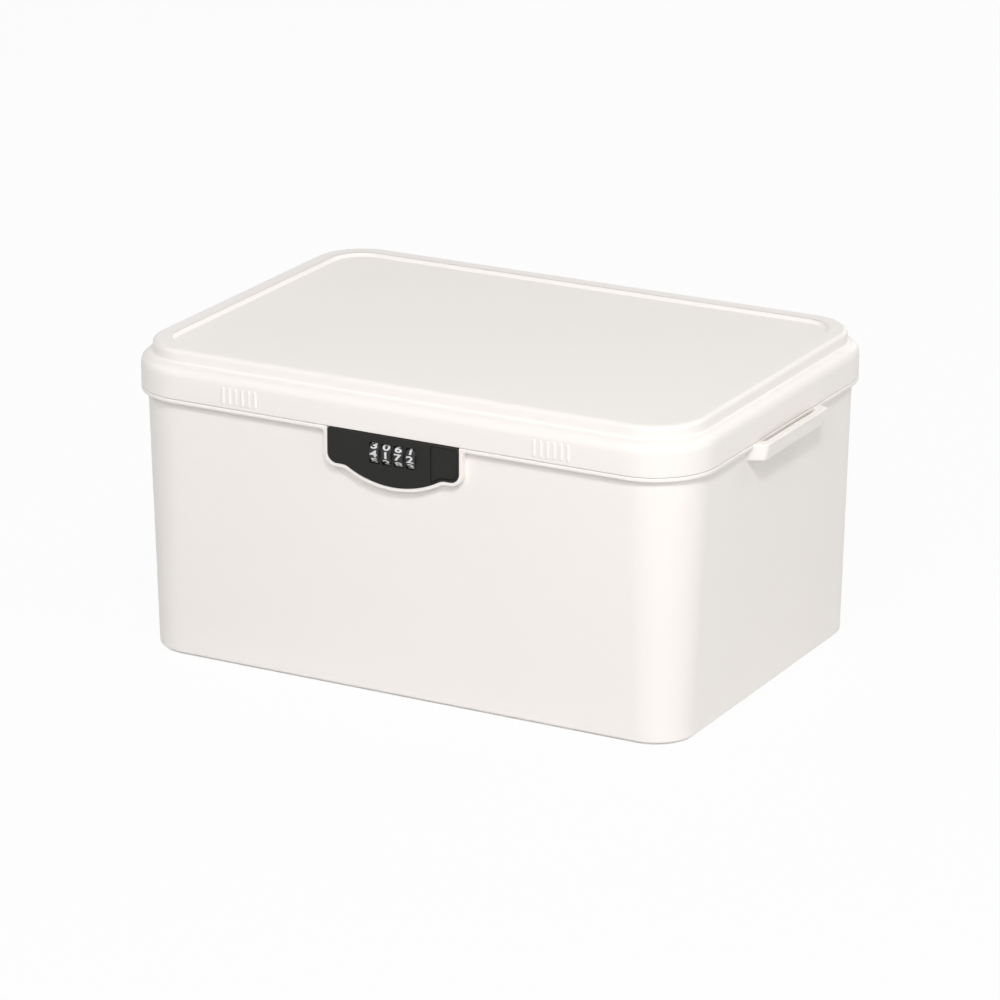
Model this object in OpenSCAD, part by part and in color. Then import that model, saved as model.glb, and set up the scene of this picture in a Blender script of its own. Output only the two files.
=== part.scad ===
// Storage box with a hinged lid and a four-dial combination lock.
// Origin: middle of the underside. +X right, front at -Y, +Z up. Millimetres.

/* [Lid] */
// Width of the lid along X
lid_w = 380; // [320:5:460]
// Depth of the lid along Y
lid_d = 264; // [220:4:340]
// Plan radius of the lid's corners
corner_r = 40; // [34:1:50]
// Height of the plain band round the lid, below its rounded shoulder
band_h = 13.5; // [12:0.5:20]
// Radius of the rounded shoulder above the band
shoulder_r = 7; // [5:0.5:9]
// Height of the raised platform above the shoulder
platform_h = 8; // [6:0.5:12]
// Radius of the platform's top edge
platform_r = 3; // [1.5:0.5:4]
// Radius of the hollow at the platform's foot
foot_r = 1.5; // [0.8:0.1:2]
// Width of the flat rim round the sunken top panel
rim_w = 2.7; // [2:0.1:6]
// Depth of the sunken top panel below the rim
panel_sink = 2.2; // [1:0.2:3]
// Plan width of the slope from the rim down to the panel
panel_slope = 2.6; // [1:0.2:5]

/* [Tub] */
// Height of the tub up to the top of its rim bead
tub_h = 165.2; // [130:0.2:240]
// Thickness of the moulded walls
wall = 2.4; // [1.8:0.2:3]
// Thickness of the tub's floor
floor_t = 2.6; // [2:0.2:4]
// How far the tub's wall lies inside the band at the top
wall_inset = 4; // [3.5:0.1:6]
// Extra inset that the wall reaches at the underside
draft = 5.5; // [2:0.5:10]
// Plan radius of the tub's corners at the underside
base_corner_r = 26; // [18:1:34]
// Radius of the tub's bottom edge
base_edge_r = 3; // [1.5:0.5:5]
// Height of the upright face of the bead under the lid's edge
bead_h = 2.3; // [1.5:0.1:4]
// Height of the slope from the bead's face down to the wall
bead_flank = 3.5; // [2:0.1:5]
// Seam between the bead and the lid
seam = 0.3; // [0.2:0.1:0.8]
// Height of the tub's upstand inside the lid
upstand_h = 14.8; // [9:0.2:15]

/* [Grip ribs] */
// Number of ribs in each group on the lid's front
rib_count = 6; // [3:1:8]
// Distance between ribs
rib_pitch = 4.4; // [3.6:0.2:6]
// Width of a rib
rib_w = 2.4; // [1.4:0.2:3]
// How far a rib stands proud of the band
rib_proud = 0.8; // [0.3:0.1:1]
// Distance from the middle of the box to the middle of a group
rib_group_x = 104; // [70:1:125]

/* [Side handles] */
// How far a handle reaches beyond the lid's band
handle_reach = 8; // [6.5:0.5:14]
// Thickness of the handle's bar
handle_t = 3.7; // [2.6:0.1:4]
// Height of the handle's bar
handle_h = 10.2; // [7:0.2:14]
// Length of the handle at its outer face
handle_len = 82; // [50:1:110]
// Length of each solid end of the handle, beside the slot
handle_end = 8.5; // [5:0.5:12]
// Angle between the handle's ends and the X axis
handle_slant = 23; // [10:1:35]

/* [Hinges] */
// Distance from the middle of the box to the middle of a hinge
hinge_x = 105; // [70:1:115]
// Distance from the lid's rear face to the hinge axis
hinge_back = 6; // [5.8:0.1:8]
// Height of the hinge axis below the top of the tub
hinge_drop = 2.2; // [1.6:0.2:3]
// Outer radius of the knuckles
knuckle_r = 4.5; // [4:0.1:4.6]
// Length of the lid's knuckle
knuckle_len = 24; // [16:1:30]
// Length of each lug on the tub
lug_len = 10; // [6:1:14]
// Radius of the hinge pin
pin_r = 2; // [1.5:0.1:2.5]

/* [Lock plate] */
// Half width of the lock's faceplate
plate_hw = 44; // [43:0.5:48]
// Height of the faceplate at its two lower corners
plate_side_h = 21.8; // [21.6:0.1:24]
// How far the curved middle hangs below the lower corners
plate_belly = 9; // [8:0.5:10]
// Radius of the curved middle
belly_r = 62; // [56:1:66]
// Radius of the sweep that joins the middle to the corners
sweep_r = 8; // [7:0.5:9]
// Radius of the faceplate's lower corners
plate_corner_r = 6; // [3:0.5:6]
// Thickness of the faceplate
plate_t = 1.6; // [1.4:0.1:1.8]
// Width of the bead's crest round the faceplate
surround_w = 2.2; // [1.6:0.2:3]
// Width of the slope from that crest down to the wall
surround_flank = 2.8; // [2:0.2:3.4]
// Radius of the hollow where the two beads meet
surround_fillet = 2.5; // [1:0.5:4]

/* [Dials] */
// Radius of a number wheel
wheel_r = 8; // [7.6:0.1:8.1]
// Width of a number wheel
wheel_w = 6.3; // [6:0.1:6.5]
// Distance between the wheels' middles
dial_pitch = 8.1; // [8:0.05:8.4]
// How far a wheel stands proud of the faceplate
wheel_proud = 1.4; // [1:0.1:1.8]
// Radius of the locking spindle
spindle_r = 2; // [1.8:0.05:2.1]

/* [Slider] */
// Left edge of the slider's window, from the middle
slider_x = 25.1; // [24.5:0.1:27]
// Width of the faceplate's edge round the slider
slider_edge = 1.4; // [1:0.1:1.6]
// Travel of the slider, spindle and bolt
slide_travel = 4; // [3.6:0.1:4.2]
// Travel of the reset button
reset_travel = 1.5; // [1:0.1:1.8]

/* [Hidden] */

white = [0.95, 0.935, 0.915];
black = [0.13, 0.13, 0.135];
steel = [0.72, 0.73, 0.74];
eps = 0.01;
run_gap = 0.05;         // radial clearance of a running fit
fixed_gap = 0.02;       // radial clearance of a seated shaft
near_gap = 0.3;         // clearance between faces that pass each other
corner_steps = 12;      // facets in one corner of the tub
belly_steps = 12;       // facets in half of the faceplate's curved middle
sweep_steps = 5;        // facets in the sweep beside it
dial_count = 4;
digit_count = 10;

// Heights
seam_z = tub_h + seam;                  // lower edge of the lid's band
shoulder_z = seam_z + band_h;           // where the band turns into the shoulder
step_z = shoulder_z + shoulder_r;       // foot of the platform
top_z = step_z + platform_h;            // highest face
panel_z = top_z - panel_sink;           // sunken panel
step_w = shoulder_r + 0.3;              // inset of the platform's wall
rim_in = step_w + platform_r + rim_w;   // inset of the rim's inner edge
panel_in = rim_in + panel_slope;        // inset of the panel's edge
upstand_z = tub_h + upstand_h;
bead_z = tub_h - bead_h;                // lower edge of the bead's face
bead_ease = 0.3;                        // rounding of that edge
flank_z = bead_z - bead_flank;          // where the bead's slope meets the wall

// Hinge
hinge_y = lid_d / 2 + hinge_back;
hinge_z = tub_h - hinge_drop;

// Lock, measured as depth in from the front face
front_y = -lid_d / 2;
case_wall = 1.2;
case_ih = wheel_r + 0.4;                // inner half height
case_h = case_ih + case_wall;
lock_z = tub_h - case_h - 2;            // height of the spindle
spindle_d = wheel_r - wheel_proud;      // depth of the spindle
plate_top = tub_h - 0.1;
lobe_z = plate_top - plate_side_h;      // lower edge of the plate's corners
seat_gap = 0.15;                        // gap round and behind the faceplate
pad_d = plate_t + seat_gap;             // depth of the face that the plate lies on
slider_sink = 0.55;                     // depth of the slider's face
slider_t = 1.3;
tray_floor = 0.9;                       // floor behind the slider
tray_d = slider_sink + slider_t + seat_gap;
tray_back = tray_d + tray_floor;
cover_lip = slider_sink - seat_gap;     // skin that the slider passes under
tuck = 1.5;                             // part of the slider hidden at rest
slider_end = slider_x - tuck - slide_travel;    // slider's left end at full travel
case_step = tray_back + seat_gap;       // depth of the case's face behind the tray
right_front = case_step + 0.8;          // front of the case's right chamber
leaf_t = 0.25;                          // thickness of the detent spring
case_back = spindle_d + wheel_r + near_gap + leaf_t;
cover_t = 1.5;
cell_wall = 0.9;                        // webs between the wheels
end_wall = 1.2;
dial_hw = dial_pitch * dial_count / 2 - 0.4;
chamber_x = dial_hw + end_wall;         // outer face of the wheels' chamber
shell_d = wall_inset + wall;            // inner face of the wall at the top
flange_t = 1.8;
boss_x = 14;
boss_r = 2.4;
boss_bore_r = 1.12;
boss_z = lock_z - case_h - 3.8;
lug_low = boss_z - 3.2;                 // lower edge of the case's lug
lug_d = wall_at(lug_low) + wall + 0.1;  // face of the lug, just inside the wall
lock_screw_l = lug_d + flange_t - 2 * plate_t;
cover_screw_l = (case_back - right_front) / 2 + cover_t;

// Catch and bolt
catch_t = 1.8;
catch_w = 11.2;
catch_d = shell_d + 2.4;
catch_tip_z = lock_z - 7.2;
catch_top = upstand_z;
catch_boss_r = 2.8;
catch_boss_d = panel_in + catch_boss_r; // the bosses stand under the flat panel
catch_back = catch_boss_d + catch_boss_r + 1.5;
bolt_h = 4;
bolt_t = 3.2;
bolt_gap = 0.4;                         // clearance of the bolt in the notch
bolt_tip_gap = 0.6;                     // rest gap from the bolt's tip to the catch
bolt_block_w = 4.4;
block_h = 3.6;                          // half height of the bolt's block
spindle_left = -chamber_x - 1.4 - bolt_block_w;
catch_x = spindle_left - slide_travel - 0.8;    // edge that faces the bolt
case_hw = catch_w - catch_x + 1 + case_wall;
carriage_x = [chamber_x + slide_travel + 1.8, chamber_x + slide_travel + 11];
prong_x = [carriage_x[0] + 3.2, carriage_x[0] + 8.2];
prong_z = [spindle_r + 1.4, spindle_r + 3];
reset_x = carriage_x[1] + 3.4;
reset_r = 1.8;
post_r = 1.8;
post_z = case_ih - post_r - 0.1;
posts = [for (x = [-chamber_x - post_r - 0.2, case_hw - case_wall - post_r - 0.2])
         for (s = [1, -1]) [x, s * post_z]];

// Side handles
handle_root_x = lid_w / 2 - wall_inset - 1.4;
handle_edge = 1;                        // rounding of the handle's edges
slot_edge = 0.8;                        // rounding of the slot's edges
slot_r = 1.2;                           // plan radius of the slot's corners
handle_corner_r = 3;                    // plan radius of the handle's corners

function dial_x(i) = (i - (dial_count + 1) / 2) * dial_pitch;
function y_at(depth) = front_y + depth;
// Inset of the tub's outer wall at height z
function wall_at(z) = wall_inset + draft * (1 - z / tub_h);
function corner_at(z) = base_corner_r + (corner_r - wall_inset - base_corner_r) * z / tub_h;

function arc(cx, cy, r, a0, a1, n) =
    [for (i = [0:n]) let (a = a0 + (a1 - a0) * i / n) [cx + r * cos(a), cy + r * sin(a)]];
function from_second(list) = [for (i = [1:len(list) - 1]) list[i]];

// One plan outline of the tub: inset from the lid's outline, corner radius, height
function ring(inset, r, z) =
    let (hx = lid_w / 2 - inset - r, hy = lid_d / 2 - inset - r)
    [for (q = [0:3]) let (sx = (q == 0 || q == 3) ? 1 : -1, sy = q < 2 ? 1 : -1)
     for (p = arc(sx * hx, sy * hy, r, 90 * q, 90 * q + 90, corner_steps)) [p[0], p[1], z]];

// Skin over a stack of outlines that all have the same number of points.
// cap lists the faces that close an outline, and a convex outline needs only one.
module loft(rings, cap = undef) {
    n = len(rings[0]);
    m = len(rings);
    ends = is_undef(cap) ? [[for (i = [0:n - 1]) i]] : cap;
    polyhedron(
        points = [for (r = rings) for (p = r) p],
        faces = concat(
            ends,
            [for (k = [0:m - 2]) for (i = [0:n - 1]) let (a = k * n, j = (i + 1) % n)
             for (t = [[a + i, a + n + i, a + n + j], [a + i, a + n + j, a + j]]) t],
            [for (f = ends) [for (i = [len(f) - 1:-1:0]) (m - 1) * n + f[i]]]),
        convexity = 6);
}
// Faces that close a mirrored outline of n points, as strips from side to side.
// The edge from point k to point k + 1 is level, so the strip above it takes both ends.
function strips(n, k) = concat(
    [[0, 1, n - 1]],
    [for (i = [1:(n - 3) / 2]) if (i != k && i != k + 1)
     for (t = [[i, i + 1, n - i - 1], [i, n - i - 1, n - i]]) t],
    [[k + 2, n - k - 2, n - k - 1], [k + 2, n - k - 1, n - k], [k + 2, n - k, k],
     [k + 2, k, k + 1]]);

// Profile with its x measured out from the corner's centre, carried round the lid
module sweep_round(profile) {
    for (q = [0:3]) {
        a = q % 2 == 0 ? lid_w : lid_d;
        b = q % 2 == 0 ? lid_d : lid_w;
        rotate([0, 0, 90 * q]) translate([a / 2 - corner_r, b / 2 - corner_r, 0]) {
            rotate_extrude(angle = 90, $fn = 96) polygon(profile);
            rotate([90, 0, 0]) linear_extrude(b - 2 * corner_r) polygon(profile);
        }
    }
}

// Half of the faceplate's outline, bottom middle to top, grown outwards by e.
// It ends at a rounded corner, or where flare_z is given in a hollow corner below that height.
function half_outline(e, top, top_r, flare_z) =
    let (low = lobe_z - plate_belly, rise = belly_r + sweep_r - plate_belly,
         sx = sqrt(pow(belly_r + sweep_r, 2) - rise * rise),
         turn = asin(sx / (belly_r + sweep_r)))
    concat(
        arc(0, low + belly_r, belly_r + e, 270, 270 + turn, belly_steps),
        from_second(arc(sx, lobe_z - sweep_r, sweep_r - e, 90 + turn, 90, sweep_steps)),
        arc(plate_hw - plate_corner_r, lobe_z + plate_corner_r, plate_corner_r + e, 270, 360, 8),
        top_r > 0
            ? arc(plate_hw + e - top_r, top - top_r, top_r, 0, 90, 4)
            : is_undef(flare_z)
            ? [[plate_hw + e, top]]
            : let (r = surround_fillet)
              concat(arc(plate_hw + e + r, flare_z - r, r, 180, 90, 4),
                     [[plate_hw + e + r, top]]));
function outline(e, top, top_r = 0, flare_z = undef) =
    let (h = half_outline(e, top, top_r, flare_z), n = len(h))
    concat(h, [for (i = [n - 1:-1:1]) [-h[i][0], h[i][1]]]);
// The outline as a 3D ring at a depth behind the front face, which may lean with the wall
function outline_ring(e, top, top_r, depth, lean = 0, flare_z = undef) =
    [for (p = outline(e, top, top_r, flare_z))
        [p[0], y_at(depth + lean * (tub_h - p[1])), p[1]]];
// Skin over a stack of such rings
module outline_loft(rings) {
    loft(rings, strips(len(rings[0]), belly_steps + sweep_steps));
}

// Prism of an outline in the XZ plane, between two depths
module slab(points, d0, d1) {
    translate([0, y_at(d1), 0]) rotate([90, 0, 0]) linear_extrude(d1 - d0) polygon(points);
}
// Block given by its x, depth and z limits, z measured from the spindle
module lock_block(x, d, z) {
    translate([x[0], y_at(d[0]), lock_z + z[0]]) cube([x[1] - x[0], d[1] - d[0], z[1] - z[0]]);
}
module along_x(x, d, z) { translate([x, y_at(d), z]) rotate([0, 90, 0]) children(); }
module along_depth(x, d, z) { translate([x, y_at(d), z]) rotate([-90, 0, 0]) children(); }

// Tub
module tub_shell() {
    top_r = corner_r - wall_inset;
    bead_r = corner_r;
    edge = [for (i = [0:4]) let (a = 90 * i / 4)
            [base_edge_r * (1 - sin(a)), base_edge_r * (1 - cos(a))]];
    inner_r = base_edge_r - 0.6;
    inner = [for (i = [3:-1:0]) let (a = 90 * i / 3)
             [inner_r * (1 - sin(a)), floor_t + inner_r * (1 - cos(a))]];
    loft(concat(
        [for (p = edge) ring(wall_at(p[1]) + p[0], corner_at(p[1]) - p[0], p[1])],
        [ring(wall_at(flank_z), corner_at(flank_z), flank_z),
         ring(bead_ease, bead_r - bead_ease, bead_z),
         ring(bead_ease * 0.27, bead_r - bead_ease * 0.27, bead_z + bead_ease),
         ring(0, bead_r, bead_z + 2 * bead_ease),
         ring(0, bead_r, tub_h - 0.5),
         ring(0.4, bead_r - 0.4, tub_h),
         ring(wall_inset, top_r, tub_h),
         ring(wall_inset, top_r, upstand_z - 0.5),
         ring(wall_inset + 0.5, top_r - 0.5, upstand_z),
         ring(wall_inset + wall - 0.5, top_r - wall + 0.5, upstand_z),
         ring(wall_inset + wall, top_r - wall, upstand_z - 0.5),
         ring(wall_at(tub_h) + wall, top_r - wall, tub_h)],
        [for (p = inner) ring(wall_at(p[1]) + wall + p[0],
                              corner_at(p[1]) - wall - p[0], p[1])]));
}
// Height just inside the rim bead's underside, at a depth behind the front face
function under_z(depth) = bead_z + 0.15 + (depth < bead_ease
    ? 2 * (bead_ease - depth)
    : -(depth - bead_ease) * bead_flank / (wall_at(flank_z) - bead_ease));
// Raised bead that slopes from its crest round the lock's faceplate to the wall,
// and flares into the slope of the rim bead
module lock_surround() {
    sunk = 0.6;             // how far the slope runs on inside the wall
    deep = wall_inset + sunk;
    top = (under_z(0) + tub_h) / 2;     // inside the rim bead
    crest = [for (c = [[0, 0.4], [0.15, 0.15], [0.5, 0.05]])
             outline_ring(surround_w - c[0], top, 0, c[1], 0, under_z(c[1]))];
    outline_loft(concat(
        [outline_ring(surround_w + surround_flank * deep / wall_inset, top, 0, deep,
                      draft / tub_h, under_z(deep))],
        crest));
}
// Everything in the wall that the lock's plate, case and screws pass through
module lock_opening() {
    slab(outline(seat_gap, tub_h + eps), -1, pad_d);
    intersection() {
        slab(outline(-0.35, plate_top), -1, case_step);
        slider_area(slider_end - 0.8, plate_hw);
    }
    lock_block([-case_hw - 0.2, case_hw + 0.2], [pad_d - 0.3, lug_d + 1],
               [-case_h - 0.2, case_h + 0.2]);
    for (s = [-1, 1]) along_depth(s * boss_x, pad_d / 2, boss_z)
        cylinder(r = boss_r + 0.2, h = lug_d, $fn = 32);
}
// Plan outline of the handle or its slot: it runs out from root to x and is half as long
// as given there, with slanted ends and corners of radius r, all grown outwards by e
function handle_ring(root, x, half, r, e, z) =
    let (s = handle_slant, cx = x - r, cy = half + r * (tan(s) - 1 / cos(s)),
         root_y = cy + (r + e) * cos(s) + (cx + (r + e) * sin(s) - root) * tan(s))
    [for (p = concat([[root, -root_y]], arc(cx, -cy, r + e, s - 90, 0, 5),
                     arc(cx, cy, r + e, 0, 90 - s, 5), [[root, root_y]]))
        [p[0], p[1], z]];
// Steps in height and growth up one side of a form whose edges are rounded by r.
// The growth is negative where the form narrows at its edges.
function eased(low, high, r, grow) =
    concat([for (i = [0:3]) let (a = 30 * i) [low + r * (1 - cos(a)), grow * r * (1 - sin(a))]],
           [for (i = [3:-1:0]) let (a = 30 * i) [high - r * (1 - cos(a)), grow * r * (1 - sin(a))]]);
// Bar with solid slanted ends, and the slot that fingers pass through
module handle() {
    low = tub_h - handle_h;
    bar_x = lid_w / 2 + handle_reach - handle_t;
    slot_half = handle_len / 2 + handle_t * tan(handle_slant) - handle_end;
    difference() {
        loft([for (p = eased(low, tub_h, handle_edge, -1))
              handle_ring(handle_root_x, bar_x + handle_t, handle_len / 2, handle_corner_r,
                          p[1], p[0])]);
        loft([for (p = concat([[low - 1, slot_edge]], eased(low, tub_h, slot_edge, 1),
                              [[tub_h + 1, slot_edge]]))
              handle_ring(handle_root_x - 1, bar_x, slot_half, slot_r, p[1], p[0])]);
    }
}
// Two lugs that carry one hinge pin
module hinge_lugs(x) {
    root = lid_d / 2 - wall_inset - wall / 2;
    for (s = [-1, 1]) {
        mid = x + s * (knuckle_len / 2 + near_gap + lug_len / 2);
        translate([mid - lug_len / 2, 0, 0]) rotate([90, 0, 90]) {
            translate([hinge_y, hinge_z]) cylinder(r = knuckle_r, h = lug_len, $fn = 64);
            linear_extrude(lug_len) polygon([
                [root, hinge_z - knuckle_r - 9], [root + 3, hinge_z - knuckle_r - 9],
                [hinge_y + knuckle_r * 0.7, hinge_z - knuckle_r * 0.7],
                [hinge_y, hinge_z], [hinge_y, tub_h - 0.1], [root, tub_h - 0.1]]);
        }
    }
}
module hinge_bore(r) {
    len = knuckle_len + 2 * lug_len + 4;
    for (s = [-1, 1]) translate([s * hinge_x - len / 2, hinge_y, hinge_z])
        rotate([0, 90, 0]) cylinder(r = r, h = len, $fn = 64);
}
module tub() {
    color(white) difference() {
        union() {
            tub_shell();
            lock_surround();
            handle();
            mirror([1, 0, 0]) handle();
            hinge_lugs(hinge_x);
            hinge_lugs(-hinge_x);
        }
        lock_opening();
        hinge_bore(pin_r + fixed_gap);
    }
}

// Lid
function from_corner(points) = [for (p = points) [corner_r - p[0], p[1]]];
module lid_shell() {
    under = panel_z - wall;
    inner_r = shoulder_r - wall;
    // The shoulder's arc runs on into the hollow at the platform's foot
    tilt = asin((foot_r - step_w + shoulder_r) / (shoulder_r + foot_r));
    sweep_round(from_corner(concat(
        [[wall, seam_z], [0.5, seam_z], [0.15, seam_z + 0.15], [0, seam_z + 0.5]],
        arc(shoulder_r, shoulder_z, shoulder_r, 180, 90 + tilt, 8),
        arc(step_w - foot_r, shoulder_z + (shoulder_r + foot_r) * cos(tilt), foot_r,
            270 + tilt, 360, 4),
        arc(step_w + platform_r, top_z - platform_r, platform_r, 180, 90, 5),
        arc(rim_in - 0.4, top_z - 0.8, 0.8, 90, 50, 2),
        [[panel_in, panel_z], [corner_r, panel_z], [corner_r, under],
         [panel_in - 0.6, under], [rim_in - 0.6, top_z - wall],
         [step_w + wall + 1, top_z - wall], [step_w + wall, top_z - wall - 1],
         [step_w + wall, shoulder_z + inner_r]],
        arc(shoulder_r, shoulder_z, inner_r, 90, 180, 5))));
    translate([corner_r - lid_w / 2, corner_r - lid_d / 2, under])
        cube([lid_w - 2 * corner_r, lid_d - 2 * corner_r, wall]);
}
// Upright round-backed ribs with round ends, sunk a little into the band
module grip_ribs() {
    low = seam_z + 2.4;
    high = shoulder_z - 0.4;
    r = (pow(rib_w / 2, 2) + pow(rib_proud, 2)) / (2 * rib_proud);
    half = (high - low - rib_w) / 2;
    intersection() {
        for (s = [-1, 1]) for (i = [0:rib_count - 1])
            translate([s * rib_group_x + (i - (rib_count - 1) / 2) * rib_pitch,
                       y_at(r - rib_proud), (low + high) / 2])
                rotate_extrude($fn = 48)
                    polygon(concat(arc(0, -half, r, -90, 0, 5), arc(0, half, r, 0, 90, 5)));
        translate([-lid_w / 2, y_at(-rib_proud - 1), seam_z])
            cube([lid_w, rib_proud + 1.5, band_h]);
    }
}
module hinge_knuckle(x) {
    translate([x - knuckle_len / 2, 0, 0]) rotate([90, 0, 90]) {
        translate([hinge_y, hinge_z]) cylinder(r = knuckle_r, h = knuckle_len, $fn = 64);
        linear_extrude(knuckle_len) polygon([
            [lid_d / 2 - 1.2, seam_z + 0.5], [lid_d / 2 + 0.6, seam_z + 0.5],
            [hinge_y - knuckle_r * 0.8, hinge_z + knuckle_r * 0.6], [hinge_y, hinge_z],
            [hinge_y + knuckle_r * 0.86, hinge_z + knuckle_r * 0.5],
            [lid_d / 2, shoulder_z - 1], [lid_d / 2 - 1.2, shoulder_z - 1]]);
    }
}
// The two bosses that carry the catch, or the holes for its screws
module catch_bosses(r, low, high) {
    for (x = [catch_x - 2.6, catch_x - catch_w + 2.6])
        translate([x, y_at(catch_boss_d), low]) cylinder(r = r, h = high - low, $fn = 32);
}
module lid() {
    color(white) difference() {
        union() {
            lid_shell();
            grip_ribs();
            hinge_knuckle(hinge_x);
            hinge_knuckle(-hinge_x);
            catch_bosses(catch_boss_r, catch_top, panel_z - 0.8);
        }
        hinge_bore(pin_r + run_gap);
        catch_bosses(1.3, catch_top - 1, catch_top + 8);
    }
}

// Hinge pins, with a head at the outer end
module hinge_pin(side) {
    len = knuckle_len + 2 * (lug_len + near_gap);
    color(steel) translate([side * hinge_x, hinge_y, hinge_z]) rotate([0, 90 * side, 0]) {
        translate([0, 0, -len / 2]) cylinder(r = pin_r, h = len, $fn = 48);
        translate([0, 0, len / 2]) cylinder(r = pin_r + 1.3, h = 1.4, $fn = 48);
    }
}
module hinge_pin_left() { hinge_pin(-1); }
module hinge_pin_right() { hinge_pin(1); }

// Faceplate
win_hw = wheel_w / 2 + 0.2;
// Half height that a wheel takes at the depth d, and the window that clears it
function chord(d) = sqrt(pow(wheel_r, 2) - pow(spindle_d - d, 2));
win_hh = chord(plate_t) + 0.25;
module dial_window(i) {
    r = 0.9;
    hx = win_hw - r;
    hz = win_hh - r;
    translate([dial_x(i), 0, lock_z])
        slab(concat(arc(hx, hz, r, 0, 90, 4), arc(-hx, hz, r, 90, 180, 4),
                    arc(-hx, -hz, r, 180, 270, 4), arc(hx, -hz, r, 270, 360, 4)),
             -1, plate_t + 1);
}
module slider_area(x0, x1) { lock_block([x0, x1], [-2, 8], [-25, 20]); }
module faceplate() {
    bevel = 0.5;
    top_r = 1.8;
    color(black) difference() {
        union() {
            outline_loft([outline_ring(0, plate_top, top_r, plate_t),
                          outline_ring(0, plate_top, top_r, bevel),
                          outline_ring(-0.9, plate_top - 0.9, top_r, 0)]);
            intersection() {
                slab(outline(-0.5, plate_top - 0.5), plate_t / 2, tray_back);
                slider_area(slider_end - 0.6, plate_hw);
            }
            for (s = [-1, 1]) along_depth(s * boss_x, plate_t / 2, boss_z)
                cylinder(r = boss_r, h = lug_d - plate_t / 2, $fn = 32);
        }
        for (i = [1:dial_count]) dial_window(i);
        intersection() {
            slab(outline(-slider_edge, plate_top - slider_edge, 2), -1, tray_d);
            slider_area(slider_x, plate_hw);
        }
        intersection() {
            slab(outline(-slider_edge, plate_top - slider_edge, 2), cover_lip, tray_d);
            slider_area(slider_end - 0.2, plate_hw);
        }
        lock_block([prong_x[0] - slide_travel - 0.4, prong_x[1] + 0.4], [tray_d - 0.5, 8],
                   [-prong_z[1] - 0.3, prong_z[1] + 0.3]);
        for (s = [-1, 1]) along_depth(s * boss_x, plate_t + 0.6, boss_z)
            cylinder(r = boss_bore_r, h = lug_d, $fn = 32);
    }
}

// Case behind the faceplate, open towards the inside of the box
module lock_case() {
    webs = concat([for (i = [1:dial_count - 1]) [dial_x(i) + dial_pitch / 2, cell_wall]],
                  [[-dial_hw - end_wall / 2, end_wall], [dial_hw + end_wall / 2, end_wall]]);
    color(black) difference() {
        union() {
            difference() {
                lock_block([-case_hw, case_hw], [pad_d, case_back], [-case_h, case_h]);
                lock_block([-case_hw + case_wall, -dial_hw - eps],
                           [pad_d + case_wall, case_back + 1], [-case_ih, case_ih]);
                lock_block([-dial_hw, dial_hw], [-1, case_back + 1], [-case_ih, case_ih]);
                lock_block([dial_hw + eps, case_hw - case_wall],
                           [right_front, case_back + 1], [-case_ih, case_ih]);
                lock_block([slider_end - 0.8, case_hw + 1], [-1, case_step], [-20, 20]);
            }
            for (w = webs) lock_block([w[0] - w[1] / 2, w[0] + w[1] / 2],
                                      [right_front, case_back - leaf_t], [-case_ih, case_ih]);
            for (w = webs) lock_block([w[0] - w[1] / 2, w[0] + w[1] / 2],
                                      [pad_d + 0.2, right_front + 0.5], [-case_ih, case_ih]);
            for (p = posts) along_depth(p[0], right_front - 0.4, lock_z + p[1])
                cylinder(r = post_r, h = case_back - right_front + 0.4, $fn = 32);
            for (p = posts) if (p[0] < 0) along_depth(p[0], pad_d + case_wall / 2, lock_z + p[1])
                cylinder(r = post_r, h = right_front - pad_d, $fn = 32);
            lock_block([-boss_x - 6, boss_x + 6], [lug_d, lug_d + flange_t],
                       [lug_low - lock_z, -case_h + 0.5]);
            lock_block([-chamber_x - 4, case_hw - 3], [shell_d + 0.2, shell_d + 0.2 + flange_t],
                       [case_h - 0.5, case_h + 4.2]);
        }
        for (w = webs) along_x(w[0] - w[1], spindle_d, lock_z) {
            cylinder(r = spindle_r + run_gap, h = 2 * w[1], $fn = 48);
            translate([-spindle_r - run_gap, 0, 0])
                cube([2 * (spindle_r + run_gap), 20, 2 * w[1]]);
        }
        lock_block([prong_x[0] - slide_travel - 0.5, prong_x[1] + 0.5], [0, right_front + 1],
                   [-prong_z[1] - 0.4, prong_z[1] + 0.4]);
        lock_block([catch_x - catch_w - 0.6, catch_x + 0.6],
                   [catch_d - 1.2, catch_d + catch_t + 1.4], [case_ih - 1, case_h + 1]);
        for (p = posts) along_depth(p[0], right_front + 1, lock_z + p[1])
            cylinder(r = 0.72, h = 20, $fn = 24);
        for (s = [-1, 1]) along_depth(s * boss_x, lug_d - 1, boss_z)
            cylinder(r = 1.3, h = flange_t + 2, $fn = 32);
    }
}
module lock_cover() {
    color(black) difference() {
        lock_block([-case_hw, case_hw], [case_back, case_back + cover_t], [-case_h, case_h]);
        for (p = posts) along_depth(p[0], case_back - 1, lock_z + p[1])
            cylinder(r = 0.9, h = cover_t + 2, $fn = 24);
        along_depth(reset_x, case_back - 1, lock_z)
            cylinder(r = reset_r + run_gap, h = cover_t + 2, $fn = 48);
    }
}
module screw(shank_r, shank_l, head_r, head_h) {
    cylinder(r = shank_r, h = shank_l + head_h / 2, $fn = 32);
    translate([0, 0, shank_l]) rotate_extrude($fn = 48)
        polygon([[0, 0], [head_r, 0], [head_r, head_h * 0.5], [head_r * 0.6, head_h], [0, head_h]]);
}
module lock_screws() {
    seat = lug_d + flange_t;
    color(steel) for (s = [-1, 1]) along_depth(s * boss_x, seat - lock_screw_l, boss_z)
        screw(1.1, lock_screw_l, 2.4, 1.4);
}
module cover_screws() {
    seat = case_back + cover_t;
    color(steel) for (p = posts) along_depth(p[0], seat - cover_screw_l, lock_z + p[1])
        screw(0.7, cover_screw_l, 1.5, 0.9);
}
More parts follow.
